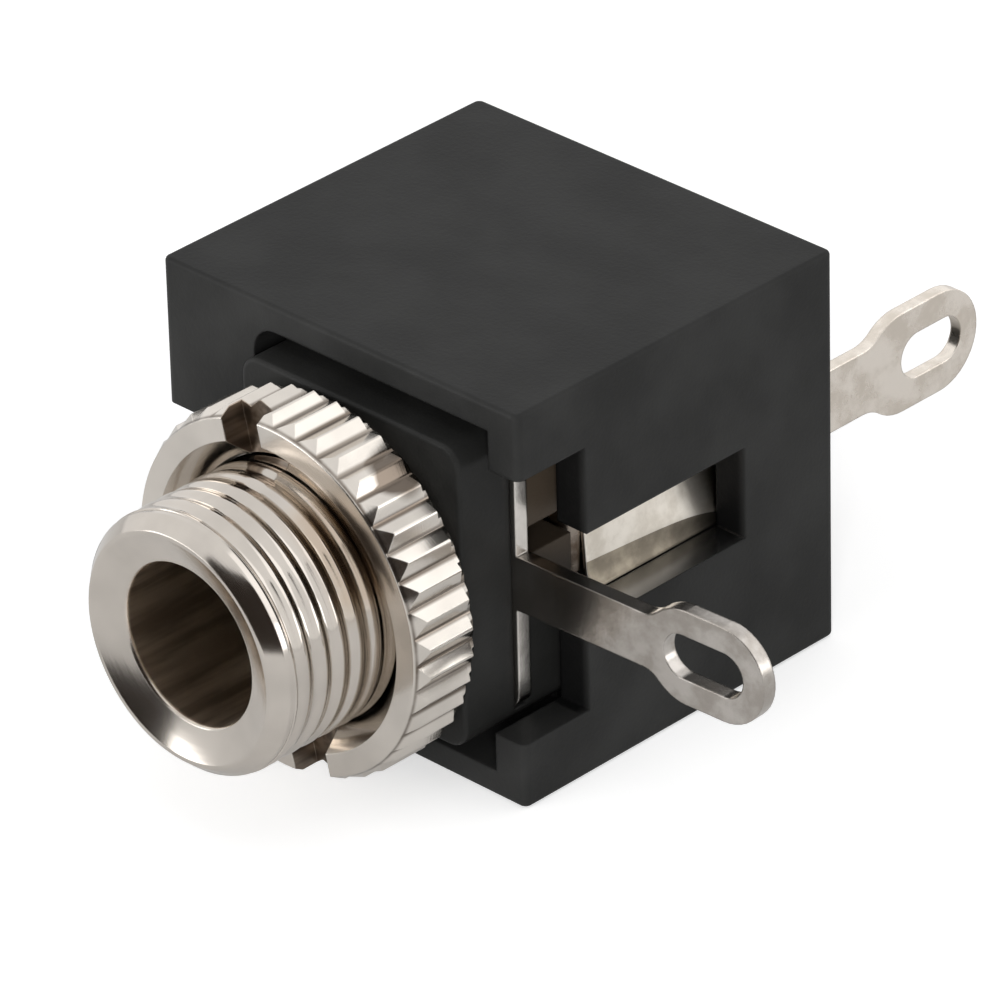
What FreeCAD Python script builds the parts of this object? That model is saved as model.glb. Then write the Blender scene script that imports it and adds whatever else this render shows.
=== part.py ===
import FreeCAD, Part
import math
import os

# Sizes are in millimetres. The bushing's axis is the Y axis, the plug enters towards +Y,
# and y = 0 is the front face of the front block, where a panel sits.

# Threaded bushing, an M6 thread outside and a bore for a 3.5 mm plug inside
THREAD_RADIUS = 3.0
THREAD_LENGTH = 5.15
THREAD_PITCH = 0.5
THREAD_ROOT_RADIUS = THREAD_RADIUS - 0.26
THREAD_CREST_SHARE = 0.2
LEAD_BAND_LENGTH = 0.75
LEAD_BAND_RADIUS = THREAD_RADIUS - 0.03
LIP_FLAT_RADIUS = THREAD_RADIUS - 0.4
LIP_ROUND = 0.22
BUSHING_WALL = 1.15
PLUG_BORE_RADIUS = THREAD_RADIUS - BUSHING_WALL
BORE_SINK_DEPTH = 0.33
SPIGOT_RADIUS = THREAD_RADIUS - 0.5
STAKE_RADIUS = SPIGOT_RADIUS + 0.3
STAKE_THICKNESS = 0.28
STAKE_ROOM = 0.05
MOUTH_Y = -THREAD_LENGTH
BORE_EDGE_Y = MOUTH_Y + BORE_SINK_DEPTH
LEAD_BAND_BACK = MOUTH_Y + LEAD_BAND_LENGTH

# Front block, the insert in the shell's mouth
BLOCK_SIDE_MARGIN = 0.7
BLOCK_END_MARGIN = 1.05
BLOCK_DEPTH = 9.0
BLOCK_PROUD = 0.6
BLOCK_CORNER_RADIUS = 0.5
BLOCK_EDGE_RADIUS = 0.1
BLOCK_HALF_WIDTH = SPIGOT_RADIUS + BLOCK_SIDE_MARGIN
BLOCK_HALF_HEIGHT = SPIGOT_RADIUS + BLOCK_END_MARGIN
BLOCK_TOP = BLOCK_HALF_HEIGHT + 0.2

# Sleeve plate, in the block's slit
PLATE_FRONT = 1.5
PLATE_THICKNESS = 0.36
PLATE_BACK = PLATE_FRONT + PLATE_THICKNESS
PLATE_LEFT = -BLOCK_HALF_WIDTH + 0.35
PLATE_RIGHT = BLOCK_HALF_WIDTH + 0.15
PLATE_HALF_HEIGHT = BLOCK_HALF_HEIGHT - 0.4
PLATE_CORNER_RADIUS = 0.4
STAKE_BACK = PLATE_BACK + STAKE_THICKNESS

# Channel and ledge for the tip contact in the block's right side
PLUG_WAY_RADIUS = PLUG_BORE_RADIUS + 0.5
CHANNEL_FLOOR_X = BLOCK_HALF_WIDTH - 1.2
CHANNEL_TOP = 1.1
CHANNEL_LOW = -1.15
LEDGE_TOP = 0.42
LEDGE_BACK = PLATE_BACK + 1.44

# Housing shell round the block
RIGHT_GAP = 0.3
LEFT_GAP = 0.2
END_GAP = 0.59
BACK_GAP = 0.5
RIGHT_WALL = 0.85
LEFT_WALL = 2.75
TOP_WALL = 0.62
BACK_WALL = 0.8
SHELL_EDGE_RADIUS = 0.18
SHELL_RIM_RADIUS = 0.1
CAVITY_LEFT_RADIUS = 0.65
CAVITY_LEFT = -BLOCK_HALF_WIDTH - LEFT_GAP
CAVITY_RIGHT = BLOCK_HALF_WIDTH + RIGHT_GAP
CAVITY_TOP = BLOCK_HALF_HEIGHT + END_GAP
CAVITY_BACK = BLOCK_DEPTH + BACK_GAP
SHELL_FRONT = BLOCK_PROUD
SHELL_BACK = CAVITY_BACK + BACK_WALL
SHELL_LEFT = CAVITY_LEFT - LEFT_WALL
SHELL_RIGHT = CAVITY_RIGHT + RIGHT_WALL
SHELL_TOP = CAVITY_TOP + TOP_WALL
RIB_CENTRE_X = BLOCK_HALF_WIDTH - 1.3
RIB_WIDTH = 1.0
RIB_FRONT = LEDGE_BACK + 0.3

# T-shaped slot in the right wall and notch in the left wall
TEE_CROSS_DEPTH = 2.0
TEE_CROSS_HALF = BLOCK_HALF_HEIGHT - 0.35
TEE_STEM_BACK = SHELL_BACK - 2.82
TEE_STEM_HALF = 1.12
NOTCH_DEPTH = 2.5
NOTCH_HALF = 1.22

# Side solder lug of the sleeve plate
LUG_LEAN_DEGREES = 2.0
SIDE_STRAP_HALF = 0.65
SIDE_EYE_RADIUS = 1.13
SIDE_STRAP_LENGTH = 3.7
SIDE_EYE_NEAR = SHELL_RIGHT + SIDE_STRAP_LENGTH
SIDE_EYE_FAR = SIDE_EYE_NEAR + 1.01
SIDE_HOLE_HALF = 0.53
SIDE_HOLE_NEAR = SIDE_EYE_NEAR - 0.09
SIDE_HOLE_FAR = SIDE_EYE_FAR + 0.02
SIDE_NECK_RADIUS = 0.6

# Ring nut
NUT_REAR_Y = -0.6
NUT_LENGTH = 1.7
NUT_BEVEL_DEPTH = 0.32
NUT_SINK_DEPTH = 0.6
NUT_BORE_RADIUS = THREAD_RADIUS + 0.05
NUT_FLAT_INNER = NUT_BORE_RADIUS + 0.5
NUT_FLAT_OUTER = NUT_BORE_RADIUS + 1.07
KNURL_ROOT = NUT_BORE_RADIUS + 1.05
KNURL_TIP = KNURL_ROOT + 0.15
KNURL_TEETH = 40
KNURL_PHASE_DEGREES = 3.5
NUT_REAR_CHAMFER = 0.12
NUT_SLOT_WIDTH = 1.1
NUT_SLOT_DEPTH = 0.65
NUT_SLOT_DEGREES = 103.0
NUT_FRONT_Y = NUT_REAR_Y - NUT_LENGTH
NUT_BEVEL_Y = NUT_FRONT_Y + NUT_BEVEL_DEPTH
NUT_SINK_Y = NUT_FRONT_Y + NUT_SINK_DEPTH

# Tip contact
CONTACT_THICKNESS = 0.3
CONTACT_OUTER_X = BLOCK_HALF_WIDTH - 0.15
CONTACT_HALF = 0.78
FOLD_CENTRE_Y = LEDGE_BACK + 0.45
FOLD_RADIUS = 0.27
ARM_BUMP_X = 1.1
ARM_BUMP_Y = BLOCK_DEPTH - 1.7
ARM_BUMP_RADIUS = 0.7
ARM_END_X = ARM_BUMP_X + 0.65
ARM_END_Y = BLOCK_DEPTH - 0.5
BACK_EYE_RADIUS = 1.23
BACK_STRAP_LENGTH = 3.65
BACK_EYE_NEAR = SHELL_BACK + BACK_STRAP_LENGTH
BACK_EYE_FAR = BACK_EYE_NEAR + 1.22
BACK_HOLE_HALF = 0.55
BACK_HOLE_NEAR = BACK_EYE_NEAR + 0.52
BACK_HOLE_FAR = BACK_EYE_FAR + 0.16
BACK_NECK_RADIUS = 0.8

Y_AXIS = FreeCAD.Vector(0, 1, 0)


def box(x0, x1, y0, y1, z0, z1):
    """A plain box between two opposite corners."""
    return Part.makeBox(x1 - x0, y1 - y0, z1 - z0, FreeCAD.Vector(x0, y0, z0))


def rod(radius, y0, y1):
    """A cylinder on the bushing's axis."""
    return Part.makeCylinder(radius, y1 - y0, FreeCAD.Vector(0, y0, 0), Y_AXIS)


def edges_along(shape, axis):
    """The straight edges of a shape that run along X, Y or Z (0, 1 or 2)."""
    found = []
    for edge in shape.Edges:
        step = edge.Vertexes[-1].Point - edge.Vertexes[0].Point
        if edge.Length > 0 and abs(abs(step[axis]) - edge.Length) < 1e-6:
            found.append(edge)
    return found


def turned(profile):
    """A solid of revolution about Y from a closed outline of (radius, y) points."""
    points = [FreeCAD.Vector(r, y, 0) for r, y in profile]
    face = Part.Face(Part.makePolygon(points + points[:1]))
    return face.revolve(FreeCAD.Vector(0, 0, 0), Y_AXIS, 360)


def obround(centre, radius, near, far):
    """A flat shape with round ends, given as a function that places (along, across) points."""
    outline = [
        Part.LineSegment(centre(near, radius), centre(far, radius)),
        Part.Arc(centre(far, radius), centre(far + radius, 0), centre(far, -radius)),
        Part.LineSegment(centre(far, -radius), centre(near, -radius)),
        Part.Arc(centre(near, -radius), centre(near - radius, 0), centre(near, radius)),
    ]
    return Part.Face(Part.Wire([curve.toShape() for curve in outline]))


def round_neck(lug, along, across, half, limit, radius):
    """Rounds the two inner corners where a lug's strap widens into its eye, short of a limit."""
    corners = []
    for edge in edges_along(lug, 3 - along - across):
        at = edge.Vertexes[0].Point
        if abs(abs(at[across]) - half) < 1e-6 and limit - 1.5 < at[along] < limit + 0.5:
            corners.append(edge)
    return lug.makeFillet(radius, corners)


def lip_arc(steps):
    """Points of the rounded lip, from its flat front to the lead band."""
    centre_r = LEAD_BAND_RADIUS - LIP_ROUND
    centre_y = MOUTH_Y + LIP_ROUND
    points = []
    for i in range(steps + 1):
        angle = math.radians(-90 + 90 * i / steps)
        points.append((centre_r + LIP_ROUND * math.cos(angle), centre_y + LIP_ROUND * math.sin(angle)))
    return points


def housing_shell():
    """The moulded box with its mouth, T-slot, notch, rear slot and inner ribs."""
    body = box(SHELL_LEFT, SHELL_RIGHT, SHELL_FRONT, SHELL_BACK, -SHELL_TOP, SHELL_TOP)
    body = body.makeFillet(SHELL_EDGE_RADIUS, edges_along(body, 2))
    rims = [e for e in body.Edges if all(abs(abs(v.Z) - SHELL_TOP) < 1e-6 for v in e.Vertexes)]
    body = body.makeFillet(SHELL_RIM_RADIUS, rims)
    mouth = box(CAVITY_LEFT, CAVITY_RIGHT, SHELL_FRONT - 1, CAVITY_BACK, -CAVITY_TOP, CAVITY_TOP)
    left_edges = [e for e in edges_along(mouth, 1) if e.Vertexes[0].X < 0]
    mouth = mouth.makeFillet(CAVITY_LEFT_RADIUS, left_edges)
    body = body.cut(mouth)
    cross_back = SHELL_FRONT + TEE_CROSS_DEPTH
    outside = SHELL_RIGHT + 1
    inside = CAVITY_RIGHT - 0.2
    body = body.cut(box(inside, outside, SHELL_FRONT - 1, cross_back, -TEE_CROSS_HALF, TEE_CROSS_HALF))
    body = body.cut(box(inside, outside, cross_back - 0.1, TEE_STEM_BACK, -TEE_STEM_HALF, TEE_STEM_HALF))
    notch_back = SHELL_FRONT + NOTCH_DEPTH
    body = body.cut(box(SHELL_LEFT - 1, CAVITY_LEFT + 0.2, SHELL_FRONT - 1, notch_back, -NOTCH_HALF, NOTCH_HALF))
    strap_inner = CONTACT_OUTER_X - CONTACT_THICKNESS
    body = body.cut(box(strap_inner, CONTACT_OUTER_X, CAVITY_BACK - 0.1, SHELL_BACK + 1, -CONTACT_HALF, CONTACT_HALF))
    for side in (-1, 1):
        for end in (-1, 1):
            block_end = BLOCK_TOP if end > 0 else -BLOCK_HALF_HEIGHT
            low, high = sorted((block_end, end * (CAVITY_TOP + 0.1)))
            x = side * RIB_CENTRE_X
            body = body.fuse(box(x - RIB_WIDTH / 2, x + RIB_WIDTH / 2, RIB_FRONT, CAVITY_BACK + 0.1, low, high))
    return body.removeSplitter()


def front_block():
    """The insert: front block, slit for the sleeve plate, and rear body with the contact's channel."""
    half_w = BLOCK_HALF_WIDTH
    body = box(-half_w, half_w, 0, BLOCK_DEPTH, -BLOCK_HALF_HEIGHT, BLOCK_TOP)
    body = body.makeFillet(BLOCK_CORNER_RADIUS, edges_along(body, 1))
    rim = [e for e in body.Edges if all(abs(v.Y) < 1e-6 for v in e.Vertexes)]
    body = body.makeFillet(BLOCK_EDGE_RADIUS, rim)
    body = body.cut(rod(SPIGOT_RADIUS, -1, PLATE_BACK))
    body = body.cut(rod(STAKE_RADIUS + STAKE_ROOM, PLATE_BACK - 0.1, STAKE_BACK + STAKE_ROOM))
    body = body.cut(rod(PLUG_WAY_RADIUS, STAKE_BACK, BLOCK_DEPTH + 1))
    body = body.cut(box(PLATE_LEFT, half_w + 1, PLATE_FRONT, PLATE_BACK, -PLATE_HALF_HEIGHT, PLATE_HALF_HEIGHT))
    channel = box(CHANNEL_FLOOR_X, half_w + 1, LEDGE_BACK, BLOCK_DEPTH + 1, CHANNEL_LOW, CHANNEL_TOP)
    recess = box(CHANNEL_FLOOR_X, half_w + 1, PLATE_BACK - 0.1, LEDGE_BACK + 0.1, LEDGE_TOP, CHANNEL_TOP)
    window = box(0, CHANNEL_FLOOR_X + 0.1, LEDGE_BACK, BLOCK_DEPTH + 1, CHANNEL_LOW, CHANNEL_TOP)
    body = body.cut(channel).cut(recess).cut(window)
    return body.removeSplitter()


def sleeve_plate():
    """The upright plate with the bushing's hole and the side solder lug."""
    half = PLATE_HALF_HEIGHT
    plate = box(PLATE_LEFT, PLATE_RIGHT, PLATE_FRONT, PLATE_BACK, -half, half)
    right_edges = [e for e in edges_along(plate, 1) if e.Vertexes[0].X > 0]
    plate = plate.makeFillet(PLATE_CORNER_RADIUS, right_edges)
    plate = plate.cut(rod(SPIGOT_RADIUS, PLATE_FRONT - 1, PLATE_BACK + 1))

    def place(along, across):
        return FreeCAD.Vector(along, PLATE_FRONT, across)

    sheet = FreeCAD.Vector(0, PLATE_THICKNESS, 0)
    root = BLOCK_HALF_WIDTH - 0.3
    strap = box(root, SIDE_EYE_NEAR, PLATE_FRONT, PLATE_BACK, -SIDE_STRAP_HALF, SIDE_STRAP_HALF)
    eye = obround(place, SIDE_EYE_RADIUS, SIDE_EYE_NEAR, SIDE_EYE_FAR).extrude(sheet)
    hole = obround(place, SIDE_HOLE_HALF, SIDE_HOLE_NEAR, SIDE_HOLE_FAR).extrude(sheet)
    lug = strap.fuse(eye).removeSplitter()
    lug = round_neck(lug, 0, 2, SIDE_STRAP_HALF, SIDE_EYE_NEAR, SIDE_NECK_RADIUS).cut(hole)
    hinge_line = FreeCAD.Vector(PLATE_RIGHT, PLATE_FRONT, 0)
    lug.rotate(hinge_line, FreeCAD.Vector(0, 0, 1), LUG_LEAN_DEGREES)
    inner_end = box(root - 1, PLATE_RIGHT, PLATE_FRONT - 1, PLATE_BACK + 1, -half, half)
    return plate.fuse(lug.cut(inner_end)).removeSplitter()


def thread_ridges():
    """Profile points of the thread, as plain ridges a pitch apart from the lead band to the block."""
    points = []
    crest = THREAD_PITCH * THREAD_CREST_SHARE / 2
    for i in range(int(-LEAD_BAND_BACK / THREAD_PITCH)):
        front = LEAD_BAND_BACK + i * THREAD_PITCH
        points.append((THREAD_RADIUS, front + crest))
        points.append((THREAD_ROOT_RADIUS, front + THREAD_PITCH / 2))
        points.append((THREAD_RADIUS, front + THREAD_PITCH - crest))
    return points


def threaded_bushing():
    """The turned bushing with its lip, countersunk bore, thread ridges, spigot and staked end."""
    profile = [(PLUG_BORE_RADIUS, STAKE_BACK), (PLUG_BORE_RADIUS, BORE_EDGE_Y), (LIP_FLAT_RADIUS, MOUTH_Y)]
    profile += lip_arc(5)
    profile += [(LEAD_BAND_RADIUS, LEAD_BAND_BACK), (THREAD_RADIUS, LEAD_BAND_BACK)]
    profile += thread_ridges()
    profile.append((THREAD_RADIUS, 0))
    profile += [(SPIGOT_RADIUS, 0), (SPIGOT_RADIUS, PLATE_BACK), (STAKE_RADIUS, PLATE_BACK)]
    profile += [(STAKE_RADIUS, STAKE_BACK)]
    return turned(profile)


def knurl_blank():
    """The nut's toothed outline, extruded over the nut's whole length."""
    arcs = []
    pitch = 2 * math.pi / KNURL_TEETH
    phase = math.radians(KNURL_PHASE_DEGREES)

    def point(radius, angle):
        return FreeCAD.Vector(radius * math.cos(angle), NUT_FRONT_Y, radius * math.sin(angle))

    for i in range(KNURL_TEETH):
        tip = phase + i * pitch
        arcs.append(Part.Arc(point(KNURL_ROOT, tip - pitch / 2), point(KNURL_TIP, tip), point(KNURL_ROOT, tip + pitch / 2)))
    face = Part.Face(Part.Wire([arc.toShape() for arc in arcs]))
    return face.extrude(FreeCAD.Vector(0, NUT_REAR_Y - NUT_FRONT_Y, 0))


def ring_nut():
    """The knurled nut with its front bevel, countersunk bore and two spanner slots."""
    rear_r = KNURL_TIP - NUT_REAR_CHAMFER
    envelope = turned([
        (NUT_BORE_RADIUS, NUT_REAR_Y),
        (NUT_BORE_RADIUS, NUT_SINK_Y),
        (NUT_FLAT_INNER, NUT_FRONT_Y),
        (NUT_FLAT_OUTER, NUT_FRONT_Y),
        (KNURL_TIP + 0.02, NUT_BEVEL_Y),
        (KNURL_TIP + 0.02, NUT_REAR_Y - NUT_REAR_CHAMFER),
        (rear_r, NUT_REAR_Y),
    ])
    nut = knurl_blank().common(envelope)
    slot = box(-KNURL_TIP - 1, KNURL_TIP + 1, NUT_FRONT_Y - 1, NUT_FRONT_Y + NUT_SLOT_DEPTH,
               -NUT_SLOT_WIDTH / 2, NUT_SLOT_WIDTH / 2)
    slot.rotate(FreeCAD.Vector(0, 0, 0), Y_AXIS, -NUT_SLOT_DEGREES)
    return nut.cut(slot)


def strip_outline(path, radii, thickness):
    """A flat strip seen edge on: a path of (x, y) corners, each with a bend radius, made thick."""
    left = []
    right = []
    half = thickness / 2
    last = len(path) - 1
    start = FreeCAD.Vector(path[0][0], path[0][1], 0)
    previous = {1: None, -1: None}
    for i in range(len(path)):
        here = FreeCAD.Vector(path[i][0], path[i][1], 0)
        if i == 0 or i == last:
            other = path[1] if i == 0 else path[last - 1]
            way = (FreeCAD.Vector(other[0], other[1], 0) - here).normalize()
            if i == last:
                way = way * -1
            normal = FreeCAD.Vector(-way.y, way.x, 0)
            for side, curves in ((1, left), (-1, right)):
                point = here + normal * (half * side)
                if previous[side] is not None:
                    curves.append(Part.LineSegment(previous[side], point).toShape())
                previous[side] = point
            continue
        before = (here - FreeCAD.Vector(path[i - 1][0], path[i - 1][1], 0)).normalize()
        after = (FreeCAD.Vector(path[i + 1][0], path[i + 1][1], 0) - here).normalize()
        turn = math.atan2(before.x * after.y - before.y * after.x, before.dot(after))
        bend = 1 if turn > 0 else -1
        setback = radii[i - 1] * math.tan(abs(turn) / 2)
        normal_in = FreeCAD.Vector(-before.y, before.x, 0)
        normal_out = FreeCAD.Vector(-after.y, after.x, 0)
        centre = here - before * setback + normal_in * (radii[i - 1] * bend)
        middle = (centre - here).normalize() * -1
        for side, curves in ((1, left), (-1, right)):
            reach = radii[i - 1] - half * side * bend
            first = here - before * setback + normal_in * (half * side)
            final = here + after * setback + normal_out * (half * side)
            if (first - previous[side]).Length > 1e-6:
                curves.append(Part.LineSegment(previous[side], first).toShape())
            curves.append(Part.Arc(first, centre + middle * reach, final).toShape())
            previous[side] = final
    cap = Part.LineSegment(previous[1], previous[-1]).toShape()
    first_left = left[0].Vertexes[0].Point
    first_right = right[0].Vertexes[0].Point
    base = Part.LineSegment(first_left, first_right).toShape()
    wire = Part.Wire(Part.__sortEdges__(left + [cap] + right + [base]))
    return Part.Face(wire)


def tip_contact():
    """The stamped contact: back lug, strap along the right wall, folded front and sprung arm."""
    strap_x = CONTACT_OUTER_X - CONTACT_THICKNESS / 2
    arm_x = strap_x - 2 * FOLD_RADIUS
    front = FOLD_CENTRE_Y - FOLD_RADIUS
    path = [
        (strap_x, BACK_EYE_NEAR),
        (strap_x, front),
        (arm_x, front),
        (arm_x, FOLD_CENTRE_Y + 0.5),
        (ARM_BUMP_X, ARM_BUMP_Y),
        (ARM_END_X, ARM_END_Y),
    ]
    radii = [FOLD_RADIUS - 1e-4, FOLD_RADIUS - 1e-4, 0.5, ARM_BUMP_RADIUS]
    strip = strip_outline(path, radii, CONTACT_THICKNESS)
    strip.translate(FreeCAD.Vector(0, 0, -CONTACT_HALF))
    strip = strip.extrude(FreeCAD.Vector(0, 0, 2 * CONTACT_HALF))

    def place(along, across):
        return FreeCAD.Vector(CONTACT_OUTER_X, along, across)

    sheet = FreeCAD.Vector(-CONTACT_THICKNESS, 0, 0)
    eye = obround(place, BACK_EYE_RADIUS, BACK_EYE_NEAR, BACK_EYE_FAR).extrude(sheet)
    hole = obround(place, BACK_HOLE_HALF, BACK_HOLE_NEAR, BACK_HOLE_FAR).extrude(sheet)
    strip = strip.fuse(eye).removeSplitter()
    return round_neck(strip, 1, 2, CONTACT_HALF, BACK_EYE_NEAR, BACK_NECK_RADIUS).cut(hole)


PARTS = {
    "housing_shell": housing_shell,
    "front_block": front_block,
    "sleeve_plate": sleeve_plate,
    "threaded_bushing": threaded_bushing,
    "ring_nut": ring_nut,
    "tip_contact": tip_contact,
}

os.makedirs("parts", exist_ok=True)
for name, make in PARTS.items():
    shape = make()
    solid = shape.Solids[0]
    print(name, len(shape.Solids), "solid, volume", round(solid.Volume, 2), "valid", solid.isValid())
    solid.exportStep("parts/%s.step" % name)
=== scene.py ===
import math

import bmesh
import bpy
from mathutils import Matrix, Vector


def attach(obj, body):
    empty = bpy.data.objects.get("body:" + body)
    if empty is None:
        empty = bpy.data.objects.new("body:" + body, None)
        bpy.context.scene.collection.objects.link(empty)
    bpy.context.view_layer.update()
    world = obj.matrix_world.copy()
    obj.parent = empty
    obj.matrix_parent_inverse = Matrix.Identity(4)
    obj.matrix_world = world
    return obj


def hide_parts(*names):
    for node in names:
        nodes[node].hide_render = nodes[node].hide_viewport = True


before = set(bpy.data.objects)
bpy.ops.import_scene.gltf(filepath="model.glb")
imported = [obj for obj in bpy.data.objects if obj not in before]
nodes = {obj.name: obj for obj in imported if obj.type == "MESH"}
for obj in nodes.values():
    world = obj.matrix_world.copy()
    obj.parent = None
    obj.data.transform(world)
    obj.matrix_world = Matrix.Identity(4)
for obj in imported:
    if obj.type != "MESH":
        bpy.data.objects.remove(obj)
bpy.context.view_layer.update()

MM = 0.001

# Sizes in millimetres, in the part's frame: the bushing's axis is Y, and y = 0 is the front block's face
EDGE = 0.02
FLOOR_Z = -4.79

# Camera
SHELL_CENTRE = (-0.90, 5.46, 0.0)
CAMERA_AZIMUTH = 44.793
CAMERA_ELEVATION = 30.157
CAMERA_ROLL = -1.476
CAMERA_LEFT = 0.0495
CAMERA_DOWN = 1.147
CAMERA_DISTANCE = 193.937
SENSOR_WIDTH = 36.0
FOCAL_LENGTH_PIXELS = 9003.5
PHOTO_WIDTH_PIXELS = 1000.0

# Bushing
THREAD_RADIUS = 3.0
THREAD_ROOT = 2.934
THREAD_PITCH = 0.52
THREAD_RUN_OUT = 0.1
THREAD_ROWS_PER_TURN = 18
FIRST_CREST_Y = -4.33
MOUTH_Y = -5.15
BAND_RADIUS = 2.97
BAND_BACK_Y = -4.66
LIP_INNER_RADIUS = 2.6
LIP_OUTER_RADIUS = 2.7
LIP_CHAMFER_Y = -4.84
BORE_RADIUS = 1.85
SINK_RADIUS = 1.94
SINK_Y = -4.89
FLARE_LENGTH = 0.12
SPIGOT_RADIUS = 2.5
PLATE_BACK_Y = 1.86
STAKE_RADIUS = 2.8
STAKE_BACK_Y = 2.14
BUSHING_COLUMNS = 192

# Ring nut
NUT_BORE_RADIUS = 3.05
NUT_FRONT_Y = -2.3
NUT_REAR_Y = -0.6
NUT_SINK_Y = -1.7
NUT_FLAT_INNER = 3.55
NUT_FLAT_OUTER = 4.06
NUT_BEVEL_SLOPE = 1.65
NUT_REAR_CHAMFER = 0.12
TOOTH_ROOT = 4.08
TOOTH_TIP = 4.25
TOOTH_COUNT = 40
TOOTH_PHASE_DEGREES = 3.5
TOOTH_FLANK_SLOPE = 1.1
TOOTH_VALLEY_SHARE = 0.05
SLOT_WIDTH = 1.1
SLOT_DEPTH = 0.65
SLOT_DEGREES = 103.0

# Contact's leaf
CONTACT_OUTER_X = 3.05
LEAF_FIRST_Y = 3.75
LEAF_LAST_Y = 7.9
LEAF_TOP_Z = 0.3
LEAF_LOW_Z = -0.52
LEAF_LOW_SLANT = 0.12
LEAF_END_DROP = 0.3
LEAF_FRONT_LEAN = 0.08
LEAF_ADDED_LEAN = 0.24
LEAF_PROUD = 0.105
LEAF_THICKNESS = 0.1
LEAF_CORNER_RADIUS = 0.3
LEAF_COLUMNS = 24
LEAF_ROWS = 8
CURL_REACH_X = 3.47
CURL_LOW_Z = -1.09
CURL_ROWS = 6

# Zones of painted light and shade, and of a glossy coat: each pair says where a soft limit starts and where
# it ends
# Painted shade on the walls inside the T-shaped slot
RECESS_X = ((3.0, 3.1), (4.1, 4.34))
RECESS_Y = ((2.3, 2.4), (7.56, 7.6))
RECESS_Z_SQUARED = (11.0, 11.6)
POLISH_X = ((3.3, 3.4), (4.3, 4.34))
POLISH_Y = ((2.5, 2.6), (7.5, 7.55))
POLISH_LEVEL_SQUARED = (0.0005, 0.001)
TEE_STEM_LOW_Z = -1.12
# Painted brown sheen on the insert's body behind the sleeve plate
BEHIND_PLATE_X = (1.5, 1.8)
BEHIND_PLATE_Y = (1.9, 2.0)
BEHIND_PLATE_Z = (-1.1, 0.4)
# Painted dark reflection of the nut on the thread's last turns
NUT_REFLECTION_WAY = (0.74, 0.67)
NUT_REFLECTION_SHARE = (0.85, 0.97)
NUT_REFLECTION_Y = ((-3.5, -2.7), (-0.8, -0.5))
NUT_REFLECTION_RADIUS = (2.8, 2.85)
# Painted dark reflection on one patch across the knurl
KNURL_REFLECTION_CENTRE = (2.41, -1.0, 3.44)
KNURL_REFLECTION_REACH_SQUARED = (0.1, 0.55)
# Painted highlight on the sleeve plate's upright right edge
PLATE_EDGE_X = ((3.25, 3.3), (3.36, 3.4))
LUG_ROOT_Z_SQUARED = (0.46, 0.5)
# Painted tan reflection on the front of the leaf's curl
LEAF_FRONT_Y = (5.5, 7.8)
# Painted shadow and dark reflection on the strap's front edge
STRAP_FRONT_Y = (3.86, 3.96)

# Brightness of the sky for matte surfaces, and of the floor's own glow
SKY_LIGHT = 0.42
FLOOR_GLOW = 0.45

scene = bpy.context.scene


# Camera at the photograph's angle
def photo_camera():
    """The camera of the photograph, far off with a long lens."""
    azimuth = math.radians(CAMERA_AZIMUTH)
    elevation = math.radians(CAMERA_ELEVATION)
    roll = math.radians(CAMERA_ROLL)
    right = Vector((math.cos(azimuth), math.sin(azimuth), 0.0))
    outward = Vector((math.sin(azimuth), -math.cos(azimuth), 0.0))
    back = outward * math.cos(elevation) + Vector((0.0, 0.0, math.sin(elevation)))
    up = back.cross(right)
    side = right * math.cos(roll) + up * math.sin(roll)
    top = up * math.cos(roll) - right * math.sin(roll)
    place = Vector(SHELL_CENTRE) - side * CAMERA_LEFT - top * CAMERA_DOWN + back * CAMERA_DISTANCE
    data = bpy.data.cameras.new("photo_camera")
    data.sensor_width = SENSOR_WIDTH
    data.lens = FOCAL_LENGTH_PIXELS * SENSOR_WIDTH / PHOTO_WIDTH_PIXELS
    data.clip_start = 0.01
    data.clip_end = 10.0
    camera = bpy.data.objects.new("photo_camera", data)
    turn = Matrix((side, top, back)).transposed().to_4x4()
    camera.matrix_world = Matrix.Translation(place * MM) @ turn
    scene.collection.objects.link(camera)
    scene.camera = camera


# Shader maths: a wrapped socket with overloaded operators
class Sock:
    """One value or vector in a material's node tree."""

    def __init__(self, tree, socket):
        self.tree = tree
        self.socket = socket

    def _math(self, operation, *others):
        return self.tree.node("ShaderNodeMath", {"operation": operation}, [self, *others])

    def __add__(self, other):
        return self._math("ADD", other)

    def __radd__(self, other):
        return self._math("ADD", other)

    def __sub__(self, other):
        return self._math("SUBTRACT", other)

    def __rsub__(self, other):
        return self.tree.node("ShaderNodeMath", {"operation": "SUBTRACT"}, [other, self])

    def __mul__(self, other):
        return self._math("MULTIPLY", other)

    def __truediv__(self, other):
        return self._math("DIVIDE", other)

    def __pow__(self, other):
        return self._math("POWER", other)

    def clamp(self):
        return self.tree.node("ShaderNodeClamp", {}, [self])

    def step(self, low, high):
        """0 below low, 1 above high, smooth between."""
        settings = {"interpolation_type": "SMOOTHSTEP"}
        return self.tree.node("ShaderNodeMapRange", settings, [self, low, high, 0.0, 1.0])

    def within(self, low, high):
        """1 between two soft limits, 0 outside them."""
        return self.step(*low) * (1 - self.step(*high))


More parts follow.
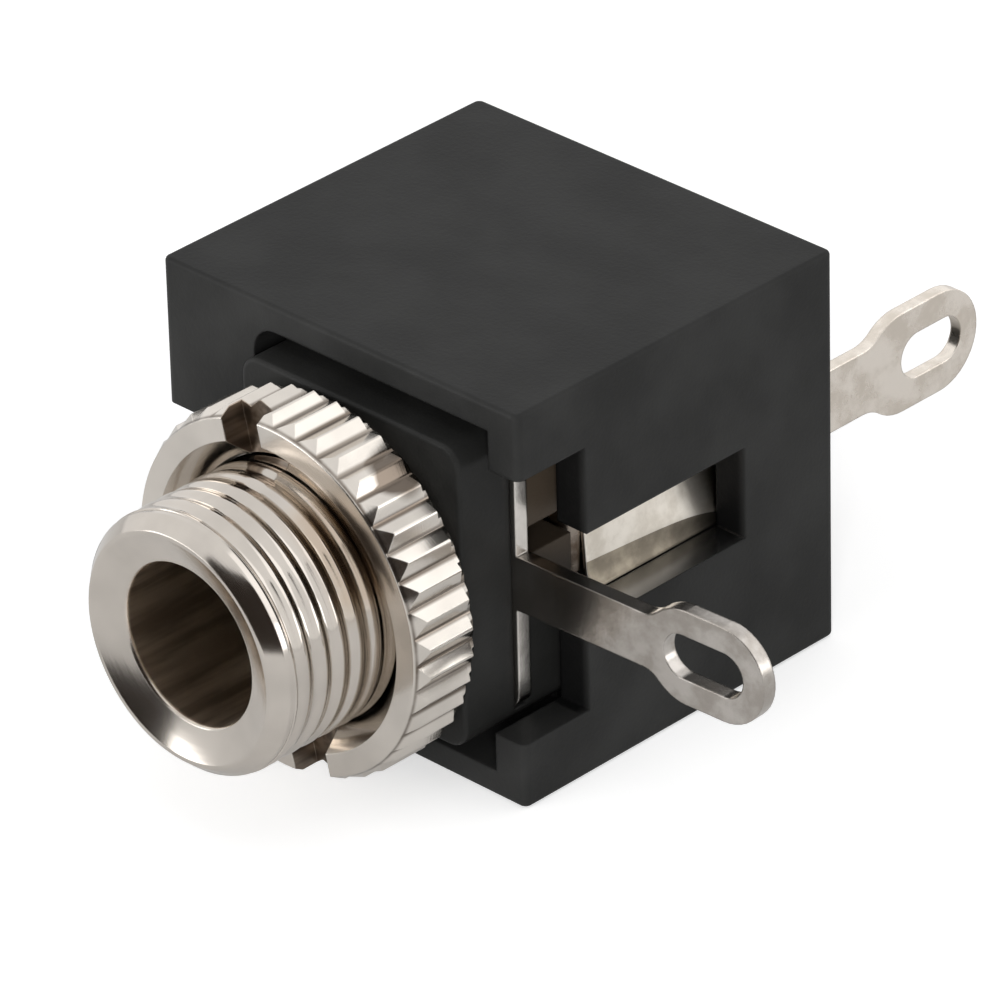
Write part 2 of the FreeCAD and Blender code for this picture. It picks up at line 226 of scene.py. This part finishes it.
class Tree:
    """A node tree of a material or of the world."""

    def __init__(self, node_tree):
        self.nodes = node_tree.nodes
        self.links = node_tree.links

    def feed(self, socket, value):
        """Links a wrapped socket, or sets a plain value."""
        if isinstance(value, Sock):
            self.links.new(value.socket, socket)
        else:
            socket.default_value = value

    def node(self, kind, settings, values, out=0):
        """Any node: its type, its settings, and the values or links of its sockets."""
        made = self.nodes.new(kind)
        for key, value in settings.items():
            setattr(made, key, value)
        pairs = values.items() if isinstance(values, dict) else enumerate(values)
        for key, value in pairs:
            self.feed(made.inputs[key], value)
        return Sock(self, made.outputs[out])

    def tint(self, factor, low, high):
        """A colour between two colours."""
        low = low if isinstance(low, Sock) else (*low, 1.0)
        high = high if isinstance(high, Sock) else (*high, 1.0)
        return self.node("ShaderNodeMix", {"data_type": "RGBA"}, {0: factor, 6: low, 7: high}, 2)

    def rays(self, *names):
        """1 for the named kinds of ray, else 0."""
        seen = [self.node("ShaderNodeLightPath", {}, [], name) for name in names]
        total = seen[0]
        for other in seen[1:]:
            total = total + other
        return total.clamp()


class Finish(Tree):
    """A procedural material: its Principled shader and its node tree."""

    def __init__(self, name, colour, roughness, metallic=0.0, specular=0.5):
        self.material = bpy.data.materials.new(name)
        self.material.use_nodes = True
        super().__init__(self.material.node_tree)
        self.shader = self.nodes["Principled BSDF"]
        self.put("Base Color", (*colour, 1.0))
        self.put("Roughness", roughness)
        self.put("Metallic", metallic)
        self.put("Specular IOR Level", specular)
        self.material.diffuse_color = (*colour, 1.0)

    def put(self, name, value):
        """Sets or links one input of the shader."""
        self.feed(self.shader.inputs[name], value)

    def place(self):
        """Position on the part in metres."""
        return self.node("ShaderNodeTexCoord", {}, [], "Object")

    def axes(self):
        """The position's three numbers in millimetres."""
        values = {"Vector": self.place(), "Scale": 1 / MM}
        place = self.node("ShaderNodeVectorMath", {"operation": "SCALE"}, values)
        return [self.node("ShaderNodeSeparateXYZ", {}, [place], out) for out in "XYZ"]

    def stretch(self, vector, scale):
        """A place scaled by its own factor on each axis."""
        return self.node("ShaderNodeMapping", {"vector_type": "POINT"}, {"Vector": vector, "Scale": scale})

    def noise(self, vector, scale, detail, rough=0.5):
        """Smooth noise between 0 and 1."""
        values = {"Vector": vector, "Scale": scale, "Detail": detail, "Roughness": rough}
        return self.node("ShaderNodeTexNoise", {}, values, "Fac")

    def relief(self, height, distance, strength, edge):
        """Bump from a height, over softly rounded edges; distance and edge radius are in millimetres."""
        values = {"Height": height, "Distance": distance * MM, "Strength": strength}
        values["Normal"] = self.node("ShaderNodeBevel", {"samples": 6}, {"Radius": edge * MM})
        self.put("Normal", self.node("ShaderNodeBump", {}, values))

    def wear(self, obj):
        """Puts the material on an object; its faces keep their material numbers if it has none yet."""
        if len(obj.data.materials):
            obj.data.materials.clear()
        obj.data.materials.append(self.material)


def slot_recess_painted_shade(x, y, z):
    """1 on the walls of the shell's T-shaped slot, short of its outer edges, where shade is painted; else 0.
    """
    return x.within(*RECESS_X) * y.within(*RECESS_Y) * (1 - (z * z).step(*RECESS_Z_SQUARED))


def painted_sheen_behind_plate(x, y, z):
    """1 on the upper right part of the insert's body behind the sleeve plate, where a brown sheen is painted;
    else 0.
    """
    return y.step(*BEHIND_PLATE_Y) * z.step(*BEHIND_PLATE_Z) * x.step(*BEHIND_PLATE_X)


def moulded_plastic(name, colour, roughness, specular, zone, painted_light_colour):
    """Black satin plastic with a fine moulded grain, faint handling marks, and one zone of painted light:
    shade in the shell's slot, a sheen on the block.
    """
    finish = Finish(name, colour, roughness, specular=specular)
    place = finish.place()
    cloud = finish.noise(place, scale=420.0, detail=3.0)
    grain = finish.noise(place, scale=9000.0, detail=3.0, rough=0.6)
    lighter = tuple(c * 1.3 for c in colour)
    darker = tuple(c * 0.85 for c in colour)
    plain = finish.tint(cloud.step(0.3, 0.7), darker, lighter)
    # The zone takes a painted colour of light or shade.
    finish.put("Base Color", finish.tint(zone(*finish.axes()), plain, painted_light_colour))
    finish.put("Roughness", roughness - 0.04 + cloud * 0.08)
    finish.relief(grain, distance=0.012, strength=0.5, edge=0.09)
    return finish


def polish_slot(finish):
    """Makes the lower wall of the shell's T-shaped slot glossy, so that it mirrors the contact."""
    x, y, z = finish.axes()
    level = z - TEE_STEM_LOW_Z
    on_wall = 1 - (level * level).step(*POLISH_LEVEL_SQUARED)
    finish.put("Coat Weight", x.within(*POLISH_X) * y.within(*POLISH_Y) * on_wall)
    finish.put("Coat Roughness", 0.22)
    finish.put("Coat IOR", 4.5)


def in_bore(x, y, z):
    """1 on the wall of the plug's bore, else 0."""
    radius = (x * x + z * z) ** 0.5
    return (1 - radius.step(BORE_RADIUS + 0.02, BORE_RADIUS + 0.07)) * y.step(SINK_Y, SINK_Y + 0.1)


def in_spanner_slots(x, y, z):
    """1 on the walls and floors of the nut's spanner slots, else 0."""
    turn = math.radians(SLOT_DEGREES)
    across = x * math.sin(turn) - z * math.cos(turn)
    half = SLOT_WIDTH / 2
    near = 1 - (across * across).step((half + 0.01) ** 2, (half + 0.03) ** 2)
    floor_y = NUT_FRONT_Y + SLOT_DEPTH
    return near * (1 - y.step(floor_y + 0.01, floor_y + 0.03)) * y.step(NUT_FRONT_Y, NUT_FRONT_Y + 0.05)


def nut_reflection_on_thread(x, y, z):
    """Up to 1 on the upper right of the thread's last turns in front of the nut, where a dark reflection of
    the nut is painted; else 0.
    """
    radius = (x * x + z * z) ** 0.5
    upper_right = ((x * NUT_REFLECTION_WAY[0] + z * NUT_REFLECTION_WAY[1]) / radius).step(*NUT_REFLECTION_SHARE)
    return y.within(*NUT_REFLECTION_Y) * radius.step(*NUT_REFLECTION_RADIUS) * upper_right


def knurl_painted_shade(x, y, z):
    """Near 1 deep in the valleys between the knurl's teeth, where shade is painted, and on one patch across
    them, where a dark reflection is painted; else 0.
    """
    radius = (x * x + z * z) ** 0.5
    deep = 1 - radius.step(TOOTH_ROOT + 0.005, TOOTH_ROOT + 0.05)
    valleys = radius.step(TOOTH_ROOT - 0.04, TOOTH_ROOT - 0.02) * deep
    valleys = valleys * y.step(NUT_FRONT_Y, NUT_FRONT_Y + 0.06)
    dx, dy, dz = (value - centre for value, centre in zip((x, y, z), KNURL_REFLECTION_CENTRE))
    dark_reflection = 1 - (dx * dx + dy * dy + dz * dz).step(*KNURL_REFLECTION_REACH_SQUARED)
    return (valleys * 0.85 + dark_reflection * 1.2).clamp()


def turned_nickel(name, colour, roughness, tarnished, tarnish_and_shade, bright_tarnish, painted_shade_zone):
    """Warm nickel plate with fine turned rings round the Y axis, tarnished zones, and zones of painted shade
    and painted dark reflection tinted towards the tarnish colour.
    """
    finish = Finish(name, colour, roughness, metallic=1.0)
    place = finish.place()
    x, y, z = finish.axes()
    zone = tarnished(x, y, z)
    cloud = finish.noise(place, scale=600.0, detail=3.0)
    streaks = finish.noise(finish.stretch(place, (2500.0, 250.0, 2500.0)), scale=1.0, detail=3.0)
    darker = tuple(c * 0.86 for c in colour)
    plate = finish.tint(cloud.step(0.35, 0.7), colour, darker)
    # Painted shade and painted dark reflections, darkened towards the tarnish colour.
    plate = finish.tint(painted_shade_zone(x, y, z) * (0.4 + streaks * 1.2), plate, tarnish_and_shade)
    old = finish.tint(streaks.step(0.35, 0.65), tarnish_and_shade, bright_tarnish)
    finish.put("Base Color", finish.tint(zone, plate, old))
    lip = 1 - y.step(LIP_CHAMFER_Y, BAND_BACK_Y)
    finish.put("Roughness", roughness - 0.04 + cloud * 0.08 + zone * 0.2 + lip * 0.035)
    rings = finish.noise(finish.stretch(place, (300.0, 22000.0, 300.0)), scale=1.0, detail=2.0)
    finish.relief(rings, distance=0.003, strength=0.3, edge=0.03)
    return finish


def plate_edge_highlight(x, y, z):
    """1 on the sleeve plate's upright right edge, above and below its lug, where a highlight is painted; else
    0.
    """
    return x.within(*PLATE_EDGE_X) * (z * z).step(*LUG_ROOT_Z_SQUARED)


def curl_front_reflection(x, y, z):
    """1 on the front half of the contact's leaf, fading to 0 towards its rounded end; there the curl's
    painted shade gives way to a painted tan reflection.
    """
    return 1 - y.step(*LEAF_FRONT_Y)


def strap_front_shade(x, y, z):
    """1 on the front edge of the tip contact's strap, where shadow and a dark reflection are painted; else 0.
    """
    return 1 - y.step(*STRAP_FRONT_Y)


def stamped_nickel(name, colour, roughness, mottle=0.8, zone=None, painted_light_colour=None):
    """Plated sheet with a mottled, scratched face and rounded edges; a zone can take a painted colour of
    light or shade.
    """
    finish = Finish(name, colour, roughness, metallic=1.0)
    place = finish.place()
    cloud = finish.noise(place, scale=1400.0, detail=4.0, rough=0.6)
    marks = finish.noise(place, scale=3000.0, detail=4.0, rough=0.6)
    darker = (colour[0] * mottle, colour[1] * mottle * 0.98, colour[2] * mottle * 0.95)
    patches = cloud.step(0.35, 0.65)
    plate = finish.tint(patches, colour, darker)
    if zone:
        # The zone takes a painted colour of light or shade.
        plate = finish.tint(zone(*finish.axes()) * (1 - patches * 0.35), plate, painted_light_colour)
    finish.put("Base Color", plate)
    finish.put("Roughness", roughness - 0.05 + cloud * 0.12)
    finish.relief(marks, distance=0.01, strength=0.4, edge=0.06)
    return finish


# Threaded bushing
def thread_radius(y, angle):
    """Crest and root of the thread at a place, run out into the lead band and the block's shoulder."""
    turns = (y - FIRST_CREST_Y) / THREAD_PITCH - angle / (2 * math.pi)
    crest = 0.5 + 0.5 * math.cos(2 * math.pi * turns)
    start = min(1.0, max(0.0, (y - BAND_BACK_Y) / THREAD_RUN_OUT))
    end = min(1.0, max(0.0, -y / THREAD_RUN_OUT))
    depth = (THREAD_RADIUS - THREAD_ROOT) * start * end
    return THREAD_RADIUS - depth * (1 - crest)


def bushing_outline():
    """Stations from the staked end through the bore, the lip and the thread, as (radius or None, y)."""
    stations = [(STAKE_RADIUS, STAKE_BACK_Y), (BORE_RADIUS, STAKE_BACK_Y)]
    flare_y = SINK_Y + FLARE_LENGTH
    for i in range(1, 9):
        stations.append((BORE_RADIUS, STAKE_BACK_Y + (flare_y - STAKE_BACK_Y) * i / 8))
    for i in range(1, 5):
        angle = math.radians(90 * i / 4)
        flare = SINK_RADIUS - BORE_RADIUS
        stations.append((SINK_RADIUS - flare * math.cos(angle), flare_y - FLARE_LENGTH * math.sin(angle)))
    stations += [
        (LIP_INNER_RADIUS - EDGE, MOUTH_Y + EDGE / 2),
        (LIP_INNER_RADIUS, MOUTH_Y),
        (LIP_OUTER_RADIUS - EDGE, MOUTH_Y),
        (LIP_OUTER_RADIUS, MOUTH_Y + EDGE / 2),
        (LIP_OUTER_RADIUS + EDGE, MOUTH_Y + EDGE * 1.5),
        (BAND_RADIUS - EDGE, LIP_CHAMFER_Y - EDGE),
        (BAND_RADIUS, LIP_CHAMFER_Y + EDGE),
        (BAND_RADIUS, BAND_BACK_Y - EDGE),
    ]
    rows = int(round(-BAND_BACK_Y / (THREAD_PITCH / THREAD_ROWS_PER_TURN)))
    for i in range(rows + 1):
        stations.append((None, BAND_BACK_Y * (1 - i / rows)))
    stations += [(SPIGOT_RADIUS, 0.0), (SPIGOT_RADIUS, PLATE_BACK_Y), (STAKE_RADIUS, PLATE_BACK_Y)]
    return stations


def lathe(name, stations, count, radius_at, sharp_degrees):
    """A closed ring mesh round Y; a station with no radius takes it from radius_at."""
    mesh = bmesh.new()
    rings = []
    for radius, y in stations:
        ring = []
        for k in range(count):
            angle = 2 * math.pi * k / count
            r = radius if radius is not None else radius_at(y, angle)
            ring.append(mesh.verts.new((r * math.cos(angle) * MM, y * MM, r * math.sin(angle) * MM)))
        rings.append(ring)
    for i in range(len(rings)):
        here = rings[i]
        after = rings[(i + 1) % len(rings)]
        for k in range(count):
            nxt = (k + 1) % count
            mesh.faces.new((here[k], here[nxt], after[nxt], after[k]))
    bmesh.ops.recalc_face_normals(mesh, faces=mesh.faces)
    return finish_mesh(name, mesh, sharp_degrees)


def finish_mesh(name, mesh, sharp_degrees=35.0):
    """Turns a bmesh into an object with smooth faces and sharp edges above an angle."""
    data = bpy.data.meshes.new(name)
    for face in mesh.faces:
        face.smooth = True
    for edge in mesh.edges:
        if len(edge.link_faces) == 2 and edge.calc_face_angle(0.0) > math.radians(sharp_degrees):
            edge.smooth = False
    mesh.to_mesh(data)
    mesh.free()
    obj = bpy.data.objects.new(name, data)
    scene.collection.objects.link(obj)
    return obj


def bushing_piece():
    """The bushing with its helical thread, in place of the solid with plain ridges."""
    piece = lathe("bushing_with_thread", bushing_outline(), BUSHING_COLUMNS, thread_radius, 22.0)
    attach(piece, "socket")
    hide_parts("threaded_bushing")
    return piece


# Knurled ring nut
def tooth_radius(share):
    """The knurl's radius at a share of a tooth, from valley to valley, with flat flanks."""
    height = (1 - abs(2 * share - 1)) * TOOTH_FLANK_SLOPE - TOOTH_VALLEY_SHARE
    rise = min(1.0, max(0.0, height))
    return TOOTH_ROOT + (TOOTH_TIP - TOOTH_ROOT) * rise


def nut_column(radius):
    """The nut's outline at one angle, where the knurl has the given radius, as (radius, y)."""
    bevel_y = NUT_FRONT_Y + max(0.0, radius - NUT_FLAT_OUTER) * NUT_BEVEL_SLOPE
    return [
        (NUT_BORE_RADIUS, NUT_REAR_Y),
        (NUT_BORE_RADIUS, NUT_SINK_Y),
        (NUT_BORE_RADIUS + EDGE, NUT_SINK_Y - EDGE * 1.5),
        (NUT_FLAT_INNER - EDGE, NUT_FRONT_Y + EDGE),
        (NUT_FLAT_INNER, NUT_FRONT_Y),
        (NUT_FLAT_OUTER - EDGE / 2, NUT_FRONT_Y),
        (min(radius, NUT_FLAT_OUTER + EDGE / 2), NUT_FRONT_Y + EDGE / 2),
        (radius, bevel_y + EDGE),
        (radius, NUT_REAR_Y - NUT_REAR_CHAMFER),
        (min(radius, TOOTH_TIP - NUT_REAR_CHAMFER), NUT_REAR_Y),
    ]


def slot_cutter():
    """A slab across the nut, as wide and deep as its spanner slots."""
    mesh = bmesh.new()
    bmesh.ops.create_cube(mesh, size=1.0)
    size = (12.0 * MM, 2 * SLOT_DEPTH * MM, SLOT_WIDTH * MM)
    bmesh.ops.scale(mesh, vec=size, verts=mesh.verts)
    turn = Matrix.Rotation(-math.radians(SLOT_DEGREES), 4, "Y")
    shift = Matrix.Translation((0.0, NUT_FRONT_Y * MM, 0.0))
    bmesh.ops.transform(mesh, matrix=shift @ turn, verts=mesh.verts)
    return finish_mesh("slot_cutter", mesh)


def nut_piece():
    """The nut with its flat-sided teeth and two spanner slots, in place of the plainer solid."""
    shares = (0.0, 0.06, 0.28, 0.44, 0.5, 0.56, 0.72, 0.94)
    mesh = bmesh.new()
    columns = []
    for tooth in range(TOOTH_COUNT):
        for share in shares:
            angle = math.radians(TOOTH_PHASE_DEGREES) + 2 * math.pi * (tooth - 0.5 + share) / TOOTH_COUNT
            column = []
            for r, y in nut_column(tooth_radius(share)):
                column.append(mesh.verts.new((r * math.cos(angle) * MM, y * MM, r * math.sin(angle) * MM)))
            columns.append(column)
    for i in range(len(columns)):
        here = columns[i]
        after = columns[(i + 1) % len(columns)]
        for k in range(len(here)):
            nxt = (k + 1) % len(here)
            mesh.faces.new((here[k], after[k], after[nxt], here[nxt]))
    bmesh.ops.recalc_face_normals(mesh, faces=mesh.faces)
    blank = finish_mesh("nut_blank", mesh)
    cutter = slot_cutter()
    cut = blank.modifiers.new("slots", "BOOLEAN")
    cut.operation = "DIFFERENCE"
    cut.solver = "EXACT"
    cut.object = cutter
    graph = bpy.context.evaluated_depsgraph_get()
    slotted = bmesh.new()
    slotted.from_object(blank, graph)
    bpy.data.objects.remove(blank)
    bpy.data.objects.remove(cutter)
    piece = finish_mesh("knurled_nut", slotted, 7.0)
    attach(piece, "nut")
    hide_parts("ring_nut")
    return piece


# Formed leaf of the tip contact, seen through the T-slot
def leaf_column(mesh, share, depth):
    """The leaf's vertices at a share of its length, from its top to the foot of its curl."""
    y = LEAF_FIRST_Y + (LEAF_LAST_Y - LEAF_FIRST_Y) * share
    end = min(1.0, (LEAF_LAST_Y - y) / LEAF_CORNER_RADIUS)
    corner = LEAF_CORNER_RADIUS * (1 - math.sqrt(1 - (1 - end) ** 2))
    low = LEAF_LOW_Z - LEAF_LOW_SLANT * share - LEAF_END_DROP * share ** 6 + corner
    lean = LEAF_FRONT_LEAN + LEAF_ADDED_LEAN * share
    column = []
    for k in range(LEAF_ROWS + 1):
        z = LEAF_TOP_Z + (low - LEAF_TOP_Z) * k / LEAF_ROWS
        x = CONTACT_OUTER_X + LEAF_PROUD - depth + (LEAF_TOP_Z - z) * lean
        column.append(mesh.verts.new((x * MM, y * MM, z * MM)))
    reach = (CURL_REACH_X - x - depth) * end
    drop = (low - CURL_LOW_Z) * end
    for k in range(1, CURL_ROWS + 1):
        angle = math.radians(90 * k / CURL_ROWS)
        place = (x + reach * (1 - math.cos(angle)), y, low - drop * math.sin(angle))
        column.append(mesh.verts.new(Vector(place) * MM))
    return column


def leaf_piece():
    """A bowed tongue that leans out from the contact's strap, with a rounded end and a curled foot."""
    mesh = bmesh.new()
    rows = LEAF_ROWS + CURL_ROWS
    outer = [leaf_column(mesh, i / LEAF_COLUMNS, 0.0) for i in range(LEAF_COLUMNS + 1)]
    inner = [leaf_column(mesh, i / LEAF_COLUMNS, LEAF_THICKNESS) for i in range(LEAF_COLUMNS + 1)]
    for i in range(LEAF_COLUMNS):
        for k in range(rows):
            face = mesh.faces.new((outer[i][k], outer[i][k + 1], outer[i + 1][k + 1], outer[i + 1][k]))
            # Faces of the curl take the second material, dark painted shade.
            face.material_index = int(k >= LEAF_ROWS)
            mesh.faces.new((inner[i][k], inner[i + 1][k], inner[i + 1][k + 1], inner[i][k + 1]))
        for k in (0, rows):
            mesh.faces.new((outer[i][k], outer[i + 1][k], inner[i + 1][k], inner[i][k]))
    for i in (0, LEAF_COLUMNS):
        for k in range(rows):
            mesh.faces.new((outer[i][k], inner[i][k], inner[i][k + 1], outer[i][k + 1]))
    bmesh.ops.recalc_face_normals(mesh, faces=mesh.faces)
    piece = finish_mesh("contact_leaf", mesh)
    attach(piece, "socket")
    return piece


# Floor, background and light
def studio():
    """A wide white floor and an even sky that looks white."""
    data = bpy.data.meshes.new("floor")
    reach = 1.5
    level = FLOOR_Z * MM
    corners = [(x, y, level) for x, y in ((-reach, -reach), (reach, -reach), (reach, reach), (-reach, reach))]
    data.from_pydata(corners, [], [(0, 1, 2, 3)])
    floor = bpy.data.objects.new("floor", data)
    scene.collection.objects.link(floor)
    paper = Finish("floor_paper", (0.8, 0.8, 0.8), 0.9, specular=0.1)
    glow = paper.tint(paper.rays("Is Camera Ray"), (0.0, 0.0, 0.0), (FLOOR_GLOW, FLOOR_GLOW, FLOOR_GLOW))
    paper.put("Emission Color", glow)
    paper.put("Emission Strength", 1.0)
    paper.wear(floor)
    world = bpy.data.worlds.new("studio_world")
    scene.world = world
    world.use_nodes = True
    sky = Tree(world.node_tree)
    shown = sky.rays("Is Camera Ray", "Is Glossy Ray", "Is Transmission Ray")
    light = sky.tint(shown, (SKY_LIGHT, SKY_LIGHT, SKY_LIGHT), (1.0, 1.0, 1.0))
    sky.feed(sky.nodes["Background"].inputs["Color"], light)


def area_light(name, place, size, watts):
    """A rectangular lamp that faces the part's origin; its place and size are in metres."""
    data = bpy.data.lights.new(name, "AREA")
    data.shape = "RECTANGLE"
    data.size, data.size_y = size
    data.energy = watts
    lamp = bpy.data.objects.new(name, data)
    lamp.location = place
    lamp.rotation_mode = "QUATERNION"
    lamp.rotation_quaternion = (Vector((0, 0, 0)) - Vector(place)).to_track_quat("-Z", "Y")
    scene.collection.objects.link(lamp)
    return lamp


def dark_patch(name, centre, reach, azimuths, elevations):
    """A dark curved flag that shows only in reflections; azimuths run from +X towards -Y, in degrees."""
    steps = 12
    places = []
    for i in range(steps + 1):
        azimuth = math.radians(azimuths[0] + (azimuths[1] - azimuths[0]) * i / steps)
        for k in range(steps + 1):
            rise = math.radians(elevations[0] + (elevations[1] - elevations[0]) * k / steps)
            level = math.cos(rise)
            way = Vector((math.cos(azimuth) * level, -math.sin(azimuth) * level, math.sin(rise)))
            places.append((Vector(centre) + way * reach) * MM)
    faces = []
    for i in range(steps):
        for k in range(steps):
            first = i * (steps + 1) + k
            faces.append((first, first + 1, first + steps + 2, first + steps + 1))
    data = bpy.data.meshes.new(name)
    data.from_pydata(places, [], faces)
    card = bpy.data.objects.new(name, data)
    scene.collection.objects.link(card)
    card.visible_camera = False
    card.visible_diffuse = False
    card.visible_shadow = False
    Finish("dark_flag", (0.04, 0.032, 0.027), 0.9, specular=0.0).wear(card)


photo_camera()
studio()
top_light = area_light("top_light", place=(0.05, 0.0, 0.35), size=(0.3, 0.3), watts=0.2)
top_light.visible_glossy = False
area_light("left_light", place=(-0.289, -0.345, 0.076), size=(0.3, 0.14), watts=0.34)
area_light("back_light", place=(0.17, 0.25, 0.265), size=(0.3, 0.3), watts=0.14)
crest_light = area_light("crest_light", place=(0.32, 0.253, 0.06), size=(0.15, 0.13), watts=0.108)
crest_light.visible_diffuse = False
right_light = area_light("right_light", place=(0.3, -0.3, 0.1), size=(0.12, 0.3), watts=1.7)
right_light.visible_glossy = False
front_light = area_light("front_light", place=(-0.15, -0.4, 0.12), size=(0.25, 0.2), watts=0.85)
front_light.visible_glossy = False
dark_patch(
    "camera_side_flag", centre=(0, 0, 0), reach=250.0,
    azimuths=(8.5, 104.0), elevations=(-1.0, 52.0))
dark_patch(
    "front_flag", centre=(-1.5, -5.0, -1.5), reach=15.0,
    azimuths=(85.0, 118.0), elevations=(-10.5, 15.0))

# The bushing gets a painted dark reflection of the nut on its thread; the brown in its bore is its own
# tarnish.
bushing_nickel = turned_nickel(
    "bushing_nickel", colour=(0.65, 0.6, 0.545), roughness=0.12, tarnished=in_bore,
    tarnish_and_shade=(0.55, 0.46, 0.37), bright_tarnish=(1.0, 0.89, 0.76), painted_shade_zone=nut_reflection_on_thread)
# The nut gets painted shade deep in its knurl's valleys and a painted dark reflection across its teeth; its
# spanner slots keep their tarnish.
nut_nickel = turned_nickel(
    "nut_nickel", colour=(0.75, 0.7, 0.64), roughness=0.16, tarnished=in_spanner_slots,
    tarnish_and_shade=(0.16, 0.13, 0.105), bright_tarnish=(0.45, 0.37, 0.3), painted_shade_zone=knurl_painted_shade)
# The sleeve plate gets a painted highlight on its upright right edge.
sheet_nickel = stamped_nickel(
    "sheet_nickel", colour=(0.57, 0.535, 0.5), roughness=0.22, mottle=0.72,
    zone=plate_edge_highlight, painted_light_colour=(0.85, 0.81, 0.76))
# The tip contact gets painted shadow and dark reflection on its strap's front edge.
strip_nickel = stamped_nickel(
    "strip_nickel", colour=(0.9, 0.83, 0.75), roughness=0.26,
    zone=strap_front_shade, painted_light_colour=(0.1, 0.07, 0.05))
leaf_nickel = stamped_nickel("leaf_nickel", colour=(0.95, 0.89, 0.8), roughness=0.3)
# The leaf's curl: painted shade, with a painted tan reflection towards its front.
curl_painted_shade = stamped_nickel(
    "curl_painted_shade", colour=(0.045, 0.04, 0.035), roughness=0.6, mottle=0.6,
    zone=curl_front_reflection, painted_light_colour=(0.5, 0.44, 0.35))
# The shell gets painted shade on the walls inside its T-shaped slot.
shell_plastic = moulded_plastic(
    "shell_plastic", colour=(0.021, 0.021, 0.0205), roughness=0.45, specular=0.1,
    zone=slot_recess_painted_shade, painted_light_colour=(0.006, 0.006, 0.006))
polish_slot(shell_plastic)
# The block gets a painted brown sheen, a reflection of the contact, behind the sleeve plate.
block_plastic = moulded_plastic(
    "block_plastic", colour=(0.016, 0.016, 0.0153), roughness=0.42, specular=0.14,
    zone=painted_sheen_behind_plate, painted_light_colour=(0.05, 0.038, 0.027))

bushing_nickel.wear(bushing_piece())
nut_nickel.wear(nut_piece())
leaf = leaf_piece()
leaf_nickel.wear(leaf)
# The curl's painted-shade material fills the second slot.
leaf.data.materials.append(curl_painted_shade.material)
sheet_nickel.wear(nodes["sleeve_plate"])
strip_nickel.wear(nodes["tip_contact"])
shell_plastic.wear(nodes["housing_shell"])
block_plastic.wear(nodes["front_block"])

scene.view_settings.view_transform = "Standard"
